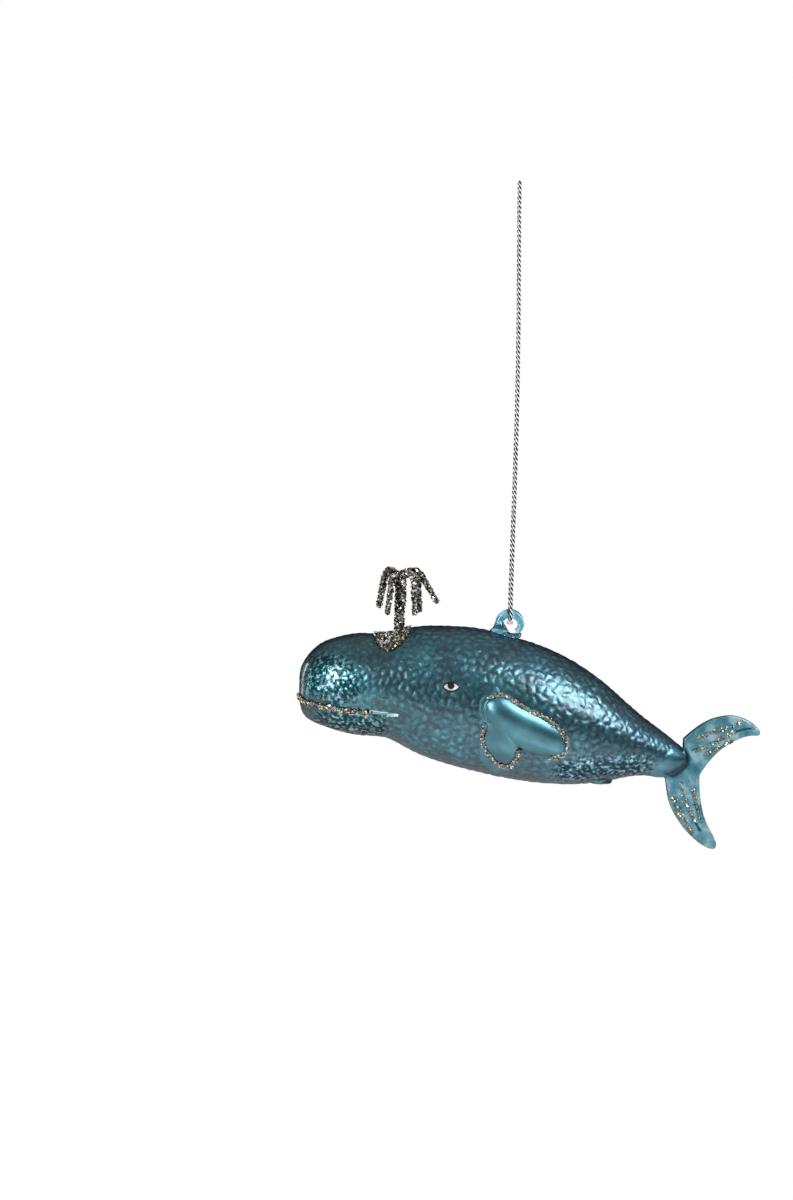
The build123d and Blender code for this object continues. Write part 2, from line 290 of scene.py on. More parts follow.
def makeCord(thread, core):
    places, line = evenly(cordRoute(), cord["step"] * mm)
    tangents = np.gradient(line, axis=0)
    tangents /= np.linalg.norm(tangents, axis=1)[:, None]
    normal = np.array((1.0, 0, 0))
    offset = (cord["diameter"] / 2 - cord["strandRadius"]) * mm
    strands = [[] for _ in range(cord["strands"])]
    for place, middle, tangent in zip(places, line, tangents):
        normal = normal - tangent * (normal @ tangent)
        normal /= np.linalg.norm(normal)
        other = np.cross(tangent, normal)
        for k, strand in enumerate(strands):
            angle = -2 * math.pi * (place / (cord["lay"] * mm) + k / cord["strands"])
            strand.append(middle + offset * (math.cos(angle) * normal + math.sin(angle) * other))
    # the core tube between the strands, near black: painted shade in the gaps
    parts = [tubeMesh(line, cord["coreRadius"] * mm, cord["sides"], (1, 0, 0))]
    coreFaces = len(parts[0][1])
    for strand in strands:
        parts.append(tubeMesh(np.array(strand), cord["strandRadius"] * mm, cord["sides"], (1, 0, 0)))
    item = addObject("hangingCord", joined(parts), core)
    secondMaterial(item.data, thread, coreFaces)
    top, low = cord["twist"]
    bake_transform(item)
    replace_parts(item, "cord_loop", "cord_foot")

    low, high = (Vector(corner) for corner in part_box("cord_knot"))
    centre = np.array((low + high) / 2)
    turns = np.linspace(0, 2 * math.pi, cord["knotSteps"], endpoint=False)
    size = cord["knotRadius"] * mm
    loops = np.column_stack([  # an overhand knot
        np.sin(turns) + 2 * np.sin(2 * turns), np.cos(turns) - 2 * np.cos(2 * turns), -np.sin(3 * turns),
    ])
    tube = tubeMesh(centre + size * loops, cord["knotTube"] * mm, cord["knotSides"], (0, 0, 1), True)
    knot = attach(addObject("cordKnot", joined([tube]), thread), "foot")
    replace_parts(knot, "cord_knot")
    print("cord: length", round(float(places[-1]), 4), "m")


makeCord(twistedFilmThread(), shadedGapCore())


# Blown glass, silvered inside and lacquered teal outside: a pale satin sheen over teal metal, mottled where
# the lacquer ran thin and where it pooled, darker in the creases between the cells with painted shade and pooled
# lacquer, flecked at nose, jaw and belly, with pale specks of painted glint there and a painted highlight along
# the bare end of the mouth, dark at the outline
silvered = {
    "poolAndShade": "#0f3e49", "film": "#27707f", "thin": "#58a8ba", "silver": "#d5e8ea", "edge": "#3a626c",
    "blotch": 9.0, "mottle": 1.5, "speck": 1.1, "hue": 12.0, "ripple": 0.8,
}


def silveredBlownGlass():
    material, tree, surface = newMaterial("silveredBlownGlass", {
        "Metallic": 0.9, "Coat IOR": 1.9,
        "Specular Tint": linear(silvered["edge"]),
    })
    place = addNode(tree, "ShaderNodeTexCoord").outputs["Object"]
    marks = {}
    for name in ("cellTone", "crease", "texture", "bareGrooveHighlight", "sparkle"):
        marks[name] = addNode(tree, "ShaderNodeAttribute", {"attribute_name": name}).outputs["Fac"]
    noise = {}
    for name, detail in (("blotch", 3.0), ("mottle", 2.5), ("speck", 1.0), ("hue", 1.0), ("ripple", 1.0)):
        noise[name] = addNode(
            tree, "ShaderNodeTexNoise", {"Scale": perMetre(silvered[name]), "Detail": detail},
            {"Vector": place},
        ).outputs["Fac"]
    # dark specks on the pebbled skin, more of them where it sparkles, and pale ones there too: painted glints
    limit = addNode(
        tree, "ShaderNodeMath", {"operation": "MULTIPLY_ADD", 1: -0.10, 2: 0.62}, {0: marks["sparkle"]},
    )
    speck = addNode(
        tree, "ShaderNodeMath", {"operation": "GREATER_THAN"}, {0: noise["speck"], 1: limit.outputs[0]},
    ).outputs[0]
    dark = addNode(
        tree, "ShaderNodeMath", {"operation": "MULTIPLY"}, {0: speck, 1: marks["texture"]},
    ).outputs[0]
    flecked = addNode(
        tree, "ShaderNodeMath", {"operation": "MULTIPLY"}, {0: speck, 1: marks["sparkle"]},
    ).outputs[0]
    low = addNode(
        tree, "ShaderNodeMath", {"operation": "LESS_THAN", 1: 0.40}, {0: noise["speck"]},
    ).outputs[0]
    pale = addNode(
        tree, "ShaderNodeMath", {"operation": "MULTIPLY"}, {0: low, 1: marks["sparkle"]},
    ).outputs[0]
    mottle = addNode(
        tree, "ShaderNodeMix", {2: 0.5}, {0: marks["texture"], 3: noise["mottle"]},
    ).outputs[0]
    total = addNode(
        tree, "ShaderNodeMath", {"operation": "MULTIPLY", 1: 0.45}, {0: noise["blotch"]},
    ).outputs[0]
    # creases darker: painted crease shade with lacquer pooled there; pale specks where it sparkles: painted
    # glints; the bare end of the mouth paler: a painted highlight
    weights = (
        (mottle, 0.55), (marks["cellTone"], 0.10), (marks["crease"], -0.15), (dark, -0.12),
        (flecked, -0.20), (pale, 0.35), (marks["bareGrooveHighlight"], 0.6),
    )
    for source, weight in weights:
        total = addNode(
            tree, "ShaderNodeMath", {"operation": "MULTIPLY_ADD", 1: weight}, {0: source, 2: total},
        ).outputs[0]
    ramp = addNode(tree, "ShaderNodeValToRGB", links={"Fac": total})
    colour = setRamp(ramp, [
        (0.32, silvered["poolAndShade"]), (0.52, silvered["film"]),
        (0.72, silvered["thin"]), (1.0, silvered["silver"]),
    ])
    # greener at the head, bluer towards the tail, with drifts of both
    across = addNode(tree, "ShaderNodeSeparateXYZ", links={"Vector": place}).outputs["X"]
    drift = addNode(
        tree, "ShaderNodeMapRange", {"From Min": -0.06, "From Max": 0.05, "To Min": 0.474, "To Max": 0.494},
        {"Value": across},
    ).outputs["Result"]
    hue = addNode(
        tree, "ShaderNodeMath", {"operation": "MULTIPLY_ADD", 1: 0.04}, {0: noise["hue"], 2: drift},
    ).outputs[0]
    tinted = addNode(tree, "ShaderNodeHueSaturation", links={"Hue": hue, "Color": colour})
    tree.links.new(tinted.outputs["Color"], surface.inputs["Base Color"])
    rough = addNode(
        tree, "ShaderNodeMapRange", {"From Min": 0.3, "From Max": 0.7, "To Min": 0.40, "To Max": 0.30},
        {"Value": mottle},
    ).outputs["Result"]
    tree.links.new(rough, surface.inputs["Roughness"])
    # the sheen: crisper where the skin sparkles, gone at its dark flecks
    crisp = addNode(
        tree, "ShaderNodeMath", {"operation": "MULTIPLY_ADD", 1: -0.15, 2: 0.28}, {0: marks["sparkle"]},
    )
    tree.links.new(crisp.outputs[0], surface.inputs["Coat Roughness"])
    worn = addNode(tree, "ShaderNodeMath", {"operation": "MULTIPLY_ADD", 1: -0.6, 2: 0.75}, {0: flecked})
    tree.links.new(worn.outputs[0], surface.inputs["Coat Weight"])
    wave = addNode(
        tree, "ShaderNodeMath", {"operation": "MULTIPLY"}, {0: noise["ripple"], 1: marks["texture"]},
    )
    pits = addNode(
        tree, "ShaderNodeMath", {"operation": "MULTIPLY"}, {0: noise["speck"], 1: marks["sparkle"]},
    )
    relief = addNode(tree, "ShaderNodeMath", {"operation": "ADD"}, {0: wave.outputs[0], 1: pits.outputs[0]})
    bump = addNode(
        tree, "ShaderNodeBump", {"Strength": 0.35, "Distance": 0.05 * mm}, {"Height": relief.outputs[0]},
    )
    for name in ("Normal", "Coat Normal"):
        tree.links.new(bump.outputs["Normal"], surface.inputs[name])
    return material


# Body: the outer skin of the bubble, pressed by its mould into pebbled cells
body = {
    "voxel": 0.36,
    # along the whale, mm: spacing of the cell middles, and share of their height
    "cells": [
        (-64, 1.25, 0.6), (-52, 1.35, 0.8), (-42, 1.8, 0.9), (0, 2.4, 1.0), (25, 2.3, 1.0), (45, 1.6, 0.9),
    ],
    "height": (0.08, 0.20),  # of a cell over the creases round it
    "crease": 0.75,  # half the width of one
    "tilt": 0.05,  # slope of a cell's face, at most
    "wander": 0.30,  # how far the creases stray from straight
    "waves": (2.1, 1.3),  # how fast they do, radians to a mm
    "proud": 0.02,  # the most that a cell stands out of the CAD skin
    "fade": {"smooth": 0.9, "bareGrooveHighlight": 0.3, "sparkle": 4.0},  # width of the edges of the places below
    "seed": 11,
    # places in the side view, as chains of x, z and radius
    # smooth skin: the flipper's two lobes, under the eye, and the tail's end
    "smooth": [
        [(-6.9, -155.8, 1.1), (-4.2, -157.3, 4.2), (1.3, -161.5, 5.2), (6.7, -164.4, 5.4), (11.8, -166.6, 4.6),
         (15.1, -168.5, 3.0)],
        [(-1.0, -163.7, 5.6), (-2.5, -167.0, 5.6), (-2.9, -170.1, 5.3), (-2.9, -172.1, 3.9)],
        [(-19.4, -151.1, 0.6), (-15.6, -151.1, 0.6)],
        [(54.0, -168.0, 2.6), (46.4, -176.0, 2.6)],
    ],
    # end of the mouth that the glitter leaves bare, painted paler towards silver: a painted highlight along the
    # groove
    "bareGrooveHighlight": [[(-41.0, -159.2, 0.35), (-33.0, -160.0, 0.2)]],
    # nose, jaw and belly, where the lacquer is thin and speckled, with pale specks of painted glint
    "sparkle": [
        [(-54.0, -148.5, 5.0), (-51.0, -151.0, 5.0)],
        [(-55.5, -162.3, 1.5), (-39.9, -164.2, 2.0)],
        [(17.7, -175.7, 2.0), (39.7, -173.5, 1.5)],
    ],
}


def outerSkin(node):
    form = bmesh.new()
    form.from_mesh(nodes[node].data)
    bmesh.ops.remove_doubles(form, verts=form.verts, dist=weld)
    form.verts.ensure_lookup_table()
    start = min(form.verts, key=lambda v: v.co.x)  # the nose is on the outside
    seen = {start}
    queue = [start]
    while queue:
        for edge in queue.pop().link_edges:
            for v in edge.verts:
                if v not in seen:
                    seen.add(v)
                    queue.append(v)
    bmesh.ops.delete(form, geom=[v for v in form.verts if v not in seen], context="VERTS")
    mesh = bpy.data.meshes.new(node + "Skin")
    form.to_mesh(mesh)
    form.free()
    return mesh


def remeshed(mesh, voxel, target=None, smoothing=0):
    item = bpy.data.objects.new("remeshed", mesh)
    bpy.context.scene.collection.objects.link(item)
    remesh = item.modifiers.new("remesh", "REMESH")
    remesh.mode = "VOXEL"
    remesh.voxel_size = voxel
    if target:
        wrap = item.modifiers.new("wrap", "SHRINKWRAP")
        wrap.target = target
    if smoothing:
        ease = item.modifiers.new("ease", "SMOOTH")
        ease.iterations = smoothing
    view = bpy.context.evaluated_depsgraph_get()
    made = bpy.data.meshes.new_from_object(item.evaluated_get(view))
    bpy.data.objects.remove(item)
    return made


def pointsOf(mesh):
    points = np.empty(len(mesh.vertices) * 3)
    mesh.vertices.foreach_get("co", points)
    normals = np.empty(len(mesh.vertices) * 3)
    mesh.vertex_normals.foreach_get("vector", normals)
    return points.reshape(-1, 3) / mm, normals.reshape(-1, 3)


def keepMark(mesh, name, values):
    mark = mesh.attributes.new(name, "FLOAT", "POINT")
    mark.data.foreach_set("value", np.asarray(values, dtype=np.float32))


def cellMiddles(points, spacing, seed):
    order = np.random.default_rng(seed).permutation(len(points))
    widest = spacing.max()
    taken = {}
    middles = []
    for i in order:
        p = points[i]
        least = spacing[i] * spacing[i]
        key = tuple(int(c // widest) for c in p)
        near = []
        for dx in (-1, 0, 1):
            for dy in (-1, 0, 1):
                for dz in (-1, 0, 1):
                    near += taken.get((key[0] + dx, key[1] + dy, key[2] + dz), [])
        if all((p - q) @ (p - q) > least for q in near):
            taken.setdefault(key, []).append(p)
            middles.append(p)
    return np.array(middles)


def smoothStep(value):
    value = np.clip(value, 0, 1)
    return value * value * (3 - 2 * value)


# how far points of the side view are outside the nearest of some chains of round places
def outside(points, chains):
    flat = points[:, [0, 2]]
    least = np.full(len(points), np.inf)
    for chain in chains:
        for (x, z, radius), (nextX, nextZ, nextRadius) in zip(chain, chain[1:]):
            start = np.array((x, z))
            run = np.array((nextX, nextZ)) - start
            share = np.clip((flat - start) @ run / (run @ run), 0, 1)
            gap = np.linalg.norm(flat - start - share[:, None] * run, axis=1)
            least = np.minimum(least, gap - radius - share * (nextRadius - radius))
    return least


def pebbled(mesh):
    points, normals = pointsOf(mesh)
    places, spacings, heights = np.array(body["cells"]).T
    spacing = np.interp(points[:, 0], places, spacings)
    middles = cellMiddles(points, spacing, body["seed"])
    tree = KDTree(len(middles))
    for i, middle in enumerate(middles):
        tree.insert(middle, i)
    tree.balance()
    draws = np.random.default_rng(body["seed"] + 1)
    tones = draws.random(len(middles))
    tops = draws.uniform(*body["height"], len(middles))
    tilts = draws.uniform(-body["tilt"], body["tilt"], (len(middles), 3))
    fast, slow = body["waves"]
    waves = np.sin(points[:, [1, 2, 0]] * fast + np.sin(points[:, [2, 0, 1]] * slow))
    strayed = points + body["wander"] * waves
    nearest = np.array([[found[1] for found in tree.find_n(p, 2)] for p in strayed])
    cell = nearest[:, 0]
    first = middles[cell]
    second = middles[nearest[:, 1]]
    toFirst = ((strayed - first) ** 2).sum(axis=1)
    toSecond = ((strayed - second) ** 2).sum(axis=1)
    edge = (toSecond - toFirst) / (2 * np.linalg.norm(second - first, axis=1))
    swell = 1 - np.exp(-(edge / body["crease"]) ** 2)
    tilt = ((strayed - first) * tilts[cell]).sum(axis=1)
    fade = body["fade"]
    share = smoothStep(outside(points, body["smooth"]) / fade["smooth"])
    depth = share * np.interp(points[:, 0], places, heights)
    rise = np.minimum(((tops[cell] + tilt) * swell - body["height"][1]) * depth, body["proud"])
    mesh.vertices.foreach_set("co", ((points + normals * rise[:, None]) * mm).ravel())
    keepMark(mesh, "cellTone", (tones[cell] - 0.5) * swell * share + 0.5)
    # crease: painted shade and pooled lacquer darken the glass here
    keepMark(mesh, "crease", (1 - swell) * share)
    keepMark(mesh, "texture", share)
    # the bare end of the mouth: a painted highlight
    keepMark(mesh, "bareGrooveHighlight", 1 - smoothStep(outside(points, body["bareGrooveHighlight"]) / fade["bareGrooveHighlight"]))
    keepMark(mesh, "sparkle", 1 - smoothStep(outside(points, body["sparkle"]) / fade["sparkle"]))
    mesh.update()
    return len(middles)


def makeBody(glass):
    mesh = remeshed(outerSkin("glass_body"), body["voxel"] * mm, nodes["glass_body"])
    cells = pebbled(mesh)
    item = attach(addObject("glassBody", mesh, glass), "whale")
    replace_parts(item, "glass_body")
    print("body:", len(mesh.vertices), "points,", cells, "cells")


silveredGlass = silveredBlownGlass()
makeBody(silveredGlass)


# Pressed or drawn glass under a thin teal lacquer: clear and pale where it is bare, deep teal where it pooled in
# the hollows, and deep teal painted shade in the hollows and along the outline
def lacqueredGlass(name, look):
    material, tree, surface = newMaterial(name, {
        "IOR": 1.5, "Transmission Weight": look["clear"], "Coat Weight": 0.3, "Coat Roughness": 0.05,
    })
    place = addNode(tree, "ShaderNodeTexCoord").outputs["Object"]
    poolAndShade = addNode(tree, "ShaderNodeAttribute", {"attribute_name": "poolAndShade"}).outputs["Fac"]
    cloud = addNode(
        tree, "ShaderNodeTexNoise", {"Scale": perMetre(look["cloud"]), "Detail": 4.0}, {"Vector": place},
    ).outputs["Fac"]
    film = addNode(
        tree, "ShaderNodeMath", {"operation": "MULTIPLY_ADD", 1: -look["poolAndShadeWeight"]}, {0: poolAndShade, 2: cloud},
    )
    ramp = addNode(tree, "ShaderNodeValToRGB", links={"Fac": film.outputs[0]})
    tree.links.new(setRamp(ramp, look["stops"]), surface.inputs["Base Color"])
    haze = addNode(
        tree, "ShaderNodeMapRange",
        {"From Min": 0.3, "From Max": 0.7, "To Min": look["rough"] * 0.6, "To Max": look["rough"] * 1.4},
        {"Value": cloud},
    )
    tree.links.new(haze.outputs["Result"], surface.inputs["Roughness"])
    wave = addNode(tree, "ShaderNodeTexNoise", {"Scale": perMetre(2.0), "Detail": 1.0}, {"Vector": place})
    bump = addNode(
        tree, "ShaderNodeBump", {"Strength": 0.4, "Distance": 0.12 * mm}, {"Height": wave.outputs["Fac"]},
    )
    tree.links.new(bump.outputs["Normal"], surface.inputs["Normal"])
    return material


flukes = {
    "voxel": 0.28, "smoothing": 4,
    "reach": 1.6, "hollow": 0.22,  # lacquer pools, darkened further with painted groove shade, where a face is this much lower than round it
    "rim": (0.8, 0.45, 0.35),  # and painted shade on the edges: how much, and the turn of the face where it starts and its run
    # the end of the tail: a place on its edge and the way to the lobes, x and z, how far it is silvered,
    # and the x of the notch over it, where the upper lobe starts
    "collar": (49.9, -172.0), "collarWay": (0.755, -0.656), "silvered": 0.5, "notch": 52.5,
    # the waist where lobes and tail run together: x and z of its ends, how far it is eased, half its width
    "waist": [[(54.4, -169.2, 0), (47.7, -176.9, 0)]], "easing": 4.0, "rounds": 16, "half": 5.2,
    "clear": 0.58, "cloud": 4.0, "poolAndShadeWeight": 0.9, "rough": 0.14,
    "stops": [(0.0, "#08313d"), (0.30, "#2b6a7d"), (0.50, "#5d98a8"), (0.68, "#b9d8df")],
}
# ring: painted shade along its outline, where the face turns sideways
ring = {
    "rim": 0.5, "clear": 0.85, "cloud": 2.6, "poolAndShadeWeight": 0.4, "rough": 0.05,
    "stops": [(0.34, "#1c7593"), (0.50, "#5fb0c8"), (0.66, "#d3ecf2")],
}


# one mesh of both lobes and the bubble's skin
def tailForm():
    parts = []
    for source in (nodes["fluke_upper"].data, nodes["fluke_lower"].data, outerSkin("glass_body")):
        parts.append(([v.co[:] for v in source.vertices], [p.vertices[:] for p in source.polygons]))
    mesh = joined(parts)
    form = bmesh.new()
    form.from_mesh(mesh)
    bmesh.ops.remove_doubles(form, verts=form.verts, dist=weld)
    form.to_mesh(mesh)
    form.free()
    return mesh


# how deep each point of a lobe's face lies under the face round it
def hollows(points, reach):
    tree = KDTree(len(points))
    for i, point in enumerate(points):
        tree.insert(point, i)
    tree.balance()
    out = np.abs(points[:, 1])
    near = [np.mean(out[[found[1] for found in tree.find_range(p, reach)]]) for p in points]
    return np.array(near) - out


# only the lobes and the end of the tail, closed inside the bubble and eased at the waist
def trimmed(mesh):
    form = bmesh.new()
    form.from_mesh(mesh)
    (x, z), (wayX, wayZ) = flukes["collar"], flukes["collarWay"]
    whole = form.verts[:] + form.edges[:] + form.faces[:]
    place, way = Vector((x, 0, z)) * mm, Vector((wayX, 0, wayZ))
    bmesh.ops.bisect_plane(form, geom=whole, plane_co=place, plane_no=way)
    # the upper lobe leans back over the collar, past the notch
    notch = flukes["notch"] * mm
    gone = [v for v in form.verts if v.co.x < notch and (v.co - place).dot(way) < -weld]
    bmesh.ops.delete(form, geom=gone, context="VERTS")
    bmesh.ops.holes_fill(form, edges=[edge for edge in form.edges if edge.is_boundary])
    points = np.array([v.co[:] for v in form.verts]) / mm
    near = outside(points, flukes["waist"]) < flukes["easing"]
    soft = [v for v, close in zip(form.verts, near) if close]
    for _ in range(flukes["rounds"]):
        bmesh.ops.smooth_vert(
            form, verts=soft, factor=0.5, use_axis_x=True, use_axis_y=True, use_axis_z=True,
        )
    form.to_mesh(mesh)
    form.free()
    return mesh


def makeFlukes(glass):
    mesh = trimmed(remeshed(tailForm(), flukes["voxel"] * mm, smoothing=flukes["smoothing"]))
    points, normals = pointsOf(mesh)
    # deep teal in the hollows, pooled lacquer with painted groove shade, and painted shade on the edges that
    # turn sideways
    low = np.clip(hollows(points, flukes["reach"]) / flukes["hollow"], 0, 1)
    share, start, run = flukes["rim"]
    rim = share * smoothStep((start - np.abs(normals[:, 1])) / run)
    keepMark(mesh, "poolAndShade", np.maximum(low, rim))
    pressed = lacqueredGlass("lacqueredPressedGlass", flukes)
    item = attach(addObject("tailFlukes", mesh, pressed), "whale")
    mesh.materials.append(glass)
    (x, z), (wayX, wayZ) = flukes["collar"], flukes["collarWay"]
    middle = np.mean(flukes["waist"][0], axis=0)[[0, 1]]
    for polygon in mesh.polygons:
        atX, atZ = polygon.center.x / mm, polygon.center.z / mm
        along = (atX - x) * wayX + (atZ - z) * wayZ
        beside = abs((atX - middle[0]) * wayZ - (atZ - middle[1]) * wayX)
        polygon.material_index = int(along < flukes["silvered"] and beside < flukes["half"])
    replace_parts(item, "fluke_upper", "fluke_lower")
    print("flukes:", len(points), "points")


def makeRing():
    mesh = nodes["hanging_ring"].data.copy()
    points, normals = pointsOf(mesh)
    # painted shade along the ring's outline, where its face turns sideways
    keepMark(mesh, "poolAndShade", smoothStep((ring["rim"] - np.abs(normals[:, 1])) / ring["rim"]))
    drawn = lacqueredGlass("lacqueredDrawnGlass", ring)
    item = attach(addObject("hangingRing", mesh, drawn), "whale")
    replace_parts(item, "hanging_ring")
    print("ring:", len(points), "points")


makeFlukes(silveredGlass)
makeRing()


# Metallised film cut into flakes: each flake is one tone at random, and the near-black tones are painted shade
# for flakes turned away from the light
def cutFilmGlitter(name, stops):
    material, tree, surface = newMaterial(name, {"Metallic": 0.6, "Roughness": 0.2})
    flake = addNode(tree, "ShaderNodeNewGeometry")
    ramp = addNode(tree, "ShaderNodeValToRGB", links={"Fac": flake.outputs["Random Per Island"]})
    tree.links.new(setRamp(ramp, stops, "CONSTANT"), surface.inputs["Base Color"])
    return material


# Clear glue, dried over the work and stained by the glitter's dust: dull grains between the flakes
def driedGlue(name, dark, pale):
    material, tree, surface = newMaterial(name, {"Roughness": 0.5})
    place = addNode(tree, "ShaderNodeTexCoord").outputs["Object"]
    grain = addNode(tree, "ShaderNodeTexNoise", {"Scale": perMetre(0.5), "Detail": 2.0}, {"Vector": place})
    ramp = addNode(tree, "ShaderNodeValToRGB", links={"Fac": grain.outputs["Fac"]})
    tree.links.new(setRamp(ramp, [(0.4, dark), (0.62, pale)]), surface.inputs["Base Color"])
    return material


# flakes for each mm2 of a bead, their radius, lift over it and stray across the glass, and the coat of glue, mm
glitter = {
    "seeds": (21, 26, 30),  # lines, bed, wires
    "thickness": 0.04,
    "corners": 6,
    "lean": 0.5,
    "askew": (0.31, 0.77, 0.55),  # any way that no flake's axis has
    "foot": 1.5,  # height of a wire's foot, mm
    "armStart": 0.8, "armRun": 1.2,  # where an arm leaves the stem, mm from its middle
    "line": {"perArea": 4.6, "radius": (0.16, 0.29), "lift": (0.02, 0.14), "stray": 0.28, "coat": 0.0},
    "lips": {"perArea": 5, "radius": (0.22, 0.36), "lift": (0.02, 0.30), "stray": 0.30, "coat": 0.0},
    "bed": {"perArea": 5, "radius": (0.22, 0.36), "lift": (0.02, 0.22), "stray": 0.08, "coat": 0.0},
    "wire": {
        "perArea": 5, "radius": (0.26, 0.42), "lift": (0.02, 0.22), "stray": 0.0, "coat": 0.10, "arm": 0.20,
    },
    # near-black stops of the flake tones: painted shade for flakes turned away from the light
    "gold": [
        (0.0, "#17110b"), (0.26, "#96652f"), (0.42, "#e2bb80"),
        (0.58, "#f7efe0"), (0.74, "#b98346"), (0.84, "#ffffff"),
    ],
    "silver": [
        (0.0, "#080706"), (0.40, "#3a352b"), (0.52, "#b3aa95"),
        (0.62, "#f6f3ec"), (0.80, "#6e644f"), (0.88, "#ffffff"),
    ],
}


# a bead or wire under its coat of glue, the arms of a wire thicker than its foot
def beadCore(node, coat, arm=0.0):
    form = bmesh.new()
    form.from_mesh(nodes[node].data)
    bmesh.ops.remove_doubles(form, verts=form.verts, dist=weld)
    form.normal_update()
    points = np.array([v.co[:] for v in form.verts]) / mm
    foot = points[points[:, 2] < points[:, 2].min() + glitter["foot"]].mean(axis=0)
    out = np.hypot(*(points - foot)[:, :2].T)
    coats = coat + arm * smoothStep((out - glitter["armStart"]) / glitter["armRun"])
    verts = [v.co + v.normal * thick * mm for v, thick in zip(form.verts, coats)]
    faces = [tuple(v.index for v in face.verts) for face in form.faces]
    form.free()
    return verts, faces


# flakes on the outside faces of a bead, those inside the glass left out
def flakesOn(core, kind, seed, glass):
    draws = np.random.default_rng(seed)
    points = np.array([v[:] for v in core[0]])
    fans = [(face[0], face[k], face[k + 1]) for face in core[1] for k in range(1, len(face) - 1)]
    corners = points[np.array(fans)]
    cross = np.cross(corners[:, 1] - corners[:, 0], corners[:, 2] - corners[:, 0])
    area = np.linalg.norm(cross, axis=1) / 2
    count = int(area.sum() / mm / mm * kind["perArea"])
    picks = draws.choice(len(area), count, p=area / area.sum())
    mix = draws.random((count, 2))
    mix[mix.sum(axis=1) > 1] = 1 - mix[mix.sum(axis=1) > 1]
    edges = corners[picks]
    first, second, third = edges[:, 0], edges[:, 1], edges[:, 2]
    middles = first + mix[:, :1] * (second - first) + mix[:, 1:] * (third - first)
    facing = cross[picks] / (2 * area[picks])[:, None]
    lifts = draws.uniform(*kind["lift"], count) * mm
    sizes = draws.uniform(*kind["radius"], count) * mm
    leans = draws.normal(0, glitter["lean"], (count, 3))
    strays = draws.normal(0, kind["stray"], (count, 3)) * mm
    spins = draws.uniform(0, 2 * math.pi, count)
    parts = []
    draw = zip(middles, facing, lifts, sizes, leans, strays, spins)
    for middle, normal, lift, size, lean, stray, spin in draw:
        if overGlass(glass, middle + normal * lift)[2] < 0:
            continue
        middle = middle + stray - normal * (stray @ normal)
        spot, up, height = overGlass(glass, middle)
        middle = spot + up * lift if height < lift and kind["stray"] else middle + normal * lift
        axis = normal + lean
        parts.append(flake(middle, axis / np.linalg.norm(axis), size, spin))
    return parts


# the nearest place on the glass, the way out there, and how far out of the glass a point is
def overGlass(glass, point):
    spot, normal, _, _ = glass.find_nearest(Vector(point))
    return np.array(spot), np.array(normal), (Vector(point) - spot).dot(normal)


def flake(middle, axis, size, spin):
    across = np.cross(axis, glitter["askew"])
    across /= np.linalg.norm(across)
    other = np.cross(axis, across)
    count = glitter["corners"]
    verts = []
    for side in (-0.5, 0.5):
        for k in range(count):
            angle = spin + 2 * math.pi * k / count
            rim = size * (math.cos(angle) * across + math.sin(angle) * other)
            verts.append(middle + rim + axis * side * glitter["thickness"] * mm)
    faces = [tuple(range(count))[::-1], tuple(range(count, 2 * count))]
    for k in range(count):
        n = (k + 1) % count
        faces.append((k, n, count + n, count + k))
    return verts, faces


def makeGlitter(name, node, kind, film, glue, seed, glass):
    core = beadCore(node, glitter[kind]["coat"], glitter[kind].get("arm", 0.0))
    parts = flakesOn(core, glitter[kind], seed, glass)
    item = addObject(name, joined([core] + parts), glue, smooth=False)
    secondMaterial(item.data, film, len(core[1]))
    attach(item, "whale")
    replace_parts(item, node)
    return len(parts)


def glassTree(name):
    mesh = bpy.data.objects[name].data
    points = [v.co for v in mesh.vertices]
    return BVHTree.FromPolygons(points, [p.vertices[:] for p in mesh.polygons])


def makeAllGlitter():
    gold = cutFilmGlitter("cutFilmGlitterGold", glitter["gold"])
    silver = cutFilmGlitter("cutFilmGlitterSilver", glitter["silver"])
    thinGlue = driedGlue("driedGlueOnGlass", "#2f565c", "#6f9296")
    thickGlue = driedGlue("driedGlueOnWire", "#23211b", "#6a6352")
    skin = glassTree("glassBody")
    fins = glassTree("tailFlukes")
    lines = [
        ("mouthGlitter", "mouth_glitter", "lips", skin),
        ("flipperGlitterLeft", "flipper_glitter_left", "line", skin),
        ("flipperGlitterRight", "flipper_glitter_right", "line", skin),
        ("upperFlukeGlitter", "fluke_upper_glitter", "line", fins),
        ("lowerFlukeGlitter", "fluke_lower_glitter", "line", fins),
    ]
    lineSeed, bedSeed, wireSeed = glitter["seeds"]
    total = 0
    for number, (name, node, kind, glass) in enumerate(lines):
        total += makeGlitter(name, node, kind, gold, thinGlue, lineSeed + number, glass)
    total += makeGlitter(
        "blowholeGlitter", "blowhole_glitter", "bed", silver, thickGlue, bedSeed, skin,
    )
    for number in range(1, 8):
        name, node = f"spoutWire{number}", f"spout_wire_{number}"
        total += makeGlitter(name, node, "wire", silver, thickGlue, wireSeed + number, skin)
    print("glitter:", total, "flakes")


makeAllGlitter()


# Enamel, brushed on by hand and fired: glossy, with a slightly uneven film
def brushedEnamel(name, thin, thick, coat):
    material, tree, surface = newMaterial(name, {"Roughness": 0.35, "Coat Weight": coat})
    place = addNode(tree, "ShaderNodeTexCoord").outputs["Object"]
    film = addNode(tree, "ShaderNodeTexNoise", {"Scale": perMetre(0.8), "Detail": 2.0}, {"Vector": place})
    ramp = addNode(tree, "ShaderNodeValToRGB", links={"Fac": film.outputs["Fac"]})
    tree.links.new(setRamp(ramp, [(0.35, thin), (0.65, thick)]), surface.inputs["Base Color"])
    bump = addNode(
        tree, "ShaderNodeBump", {"Strength": 0.3, "Distance": 0.03 * mm}, {"Height": film.outputs["Fac"]},
    )
    tree.links.new(bump.outputs["Normal"], surface.inputs["Normal"])
    return material


